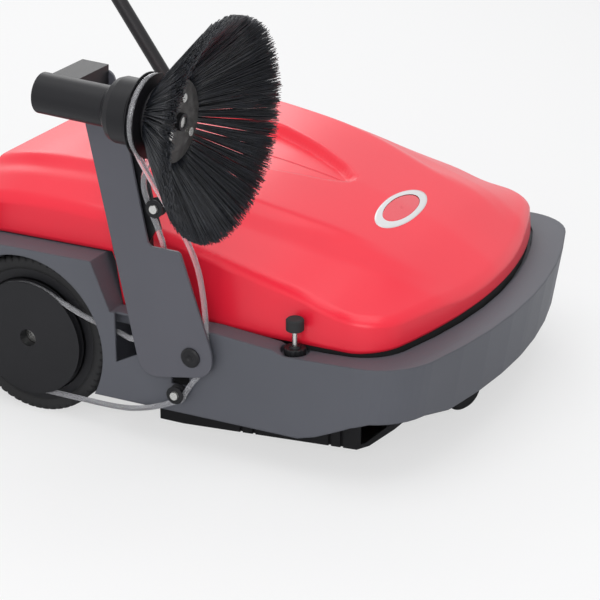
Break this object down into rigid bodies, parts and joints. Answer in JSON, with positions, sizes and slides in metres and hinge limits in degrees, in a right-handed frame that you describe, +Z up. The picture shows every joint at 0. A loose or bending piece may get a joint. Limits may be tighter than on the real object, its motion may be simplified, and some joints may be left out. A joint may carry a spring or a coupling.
{
  "type": "walk-behind sweeper",
  "caption": "Push sweeper with a red hood over a hopper, wheel-driven main broom, folding side brush on a belt drive, castor and folding push handle.",
  "frame": {"origin": "middle of the bounding box, on the floor", "axes": "+X forward, +Y to the machine's left, +Z up"},
  "size_m": [1.2941, 0.9769, 1.0212],
  "materials": {
    "chassis_grey": "moulded, fine grain",
    "arm_grey": "satin paint",
    "hood_red": "glossy",
    "black_plastic": "fine grain",
    "black_steel": "satin paint",
    "rubber": "moulded",
    "foam": "soft foam",
    "bristle": "fibres",
    "zinc": "plated",
    "dark_plate": "dark",
    "bush": "plain",
    "belt": "clear polyurethane",
    "badge": "flat"
  },
  "bodies": {
    "chassis": {"chassis_frame": "chassis_grey", "hopper_tub": "black_plastic", "hopper_pivots": "zinc", "hood_seal": "rubber", "rear_dust_flap": "rubber", "flap_strip": "zinc", "wheel_axles": "zinc", "axle_clips": "zinc", "broom_bearings": "bush", "arm_pivot_bolt": "zinc", "lower_roller_bolt": "zinc", "drive_belt": "belt", "bumper_insert": "bush", "castor_plate": "black_steel", "handle_brackets": "black_steel", "hood_brackets": "black_steel", "hinge_pins": "zinc"},
    "hopper_bail": {"hopper_handle": "zinc"},
    "right_wheel": {"right_wheel_rim": "black_plastic", "right_tyre": "rubber", "drive_pulley": "black_plastic", "wheel_gear": "black_plastic"},
    "left_wheel": {"left_wheel_rim": "black_plastic", "left_tyre": "rubber"},
    "broom": {"broom_core": "black_plastic", "broom_bristles": "bristle", "broom_pinion": "black_plastic"},
    "arm": {"arm_cover": "arm_grey", "arm_frame": "black_steel", "arm_bush": "bush", "pivot_cap": "black_plastic", "upper_roller_bolt": "zinc", "brush_head": "black_plastic"},
    "side_brush": {"brush_shaft": "zinc", "brush_pulley": "black_plastic", "brush_disc": "black_plastic", "hub_plate": "dark_plate", "hub_bolts": "zinc", "spindle_nut": "zinc", "side_bristles": "bristle"},
    "lower_guide": {"lower_roller": "black_plastic"},
    "upper_guide": {"upper_roller": "black_plastic"},
    "bumper": {"bumper_stud": "zinc", "bumper_rubber": "rubber"},
    "nut": {"lock_nut": "black_plastic"},
    "castor": {"castor_fork": "black_steel", "castor_axle": "zinc"},
    "castor_roller": {"castor_wheel": "black_plastic"},
    "push_handle": {"handle_tube": "black_steel", "handle_grips": "foam", "handle_bolts": "zinc"},
    "right_knob": {"right_handle_knob": "black_plastic"},
    "left_knob": {"left_handle_knob": "black_plastic"},
    "hood": {"hood_shell": "hood_red", "badge_plate": "badge", "hood_lugs": "black_steel"}
  },
  "joints": [
    {"name": "hood_hinge", "type": "hinge", "parent": "chassis", "child": "hood", "pos_m": [-0.17773, 0.1245, 0.284], "axis": [0, -1, 0], "range_deg": [0, 65]},
    {"name": "arm_fold", "type": "hinge", "parent": "chassis", "child": "arm", "pos_m": [0.26227, -0.2355, 0.16], "axis": [0, 1, 0], "range_deg": [0, 93], "deforming": ["drive_belt"]},
    {"name": "side_brush_spin", "type": "hinge", "parent": "arm", "child": "side_brush", "pos_m": [0.26727, -0.3375, 0.552], "axis": [0.9986, 0, -0.0523], "continuous": true},
    {"name": "upper_roller_spin", "type": "hinge", "parent": "arm", "child": "upper_guide", "pos_m": [0.21127, -0.2325, 0.379], "axis": [0, 1, 0], "continuous": true},
    {"name": "lower_roller_spin", "type": "hinge", "parent": "chassis", "child": "lower_guide", "pos_m": [0.23527, -0.2305, 0.095], "axis": [0, 1, 0], "continuous": true},
    {"name": "right_wheel_spin", "type": "hinge", "parent": "chassis", "child": "right_wheel", "pos_m": [-0.02973, -0.1775, 0.125], "axis": [0, 1, 0], "continuous": true},
    {"name": "left_wheel_spin", "type": "hinge", "parent": "chassis", "child": "left_wheel", "pos_m": [-0.02973, 0.4265, 0.125], "axis": [0, 1, 0], "continuous": true},
    {"name": "broom_spin", "type": "hinge", "parent": "chassis", "child": "broom", "pos_m": [0.05326, 0.1245, 0.112], "axis": [0, 1, 0], "continuous": true},
    {"name": "castor_swivel", "type": "hinge", "parent": "chassis", "child": "castor", "pos_m": [0.56427, 0.1245, 0.094], "axis": [0, 0, 1], "continuous": true},
    {"name": "castor_wheel_spin", "type": "hinge", "parent": "castor", "child": "castor_roller", "pos_m": [0.54821, 0.09006, 0.036], "axis": [0.9063, -0.4226, 0], "continuous": true},
    {"name": "handle_fold", "type": "hinge", "parent": "chassis", "child": "push_handle", "pos_m": [-0.14273, 0.1245, 0.308], "axis": [0, 1, 0], "range_deg": [0, 70]},
    {"name": "right_knob_turn", "type": "hinge", "parent": "push_handle", "child": "right_knob", "pos_m": [-0.14273, -0.2025, 0.308], "axis": [0, -1, 0], "range_deg": [-180, 180]},
    {"name": "left_knob_turn", "type": "hinge", "parent": "push_handle", "child": "left_knob", "pos_m": [-0.14273, 0.4515, 0.308], "axis": [0, 1, 0], "range_deg": [-180, 180]},
    {"name": "bumper_adjust", "type": "slide", "parent": "chassis", "child": "bumper", "axis": [0, 0, 1], "range_m": [-0.008, 0]},
    {"name": "lock_nut_turn", "type": "hinge", "parent": "chassis", "child": "nut", "pos_m": [0.40927, -0.1965, 0.188], "axis": [0, 0, 1], "continuous": true},
    {"name": "hopper_handle_lift", "type": "hinge", "parent": "chassis", "child": "hopper_bail", "pos_m": [0.36827, 0.1245, 0.168], "axis": [0, -1, 0], "range_deg": [0, 90]}
  ],
  "couplings": [
    {"joint": "broom_spin", "follows": "right_wheel_spin", "ratio": -2.5},
    {"joint": "side_brush_spin", "follows": "right_wheel_spin", "ratio": 1.6346}
  ]
}
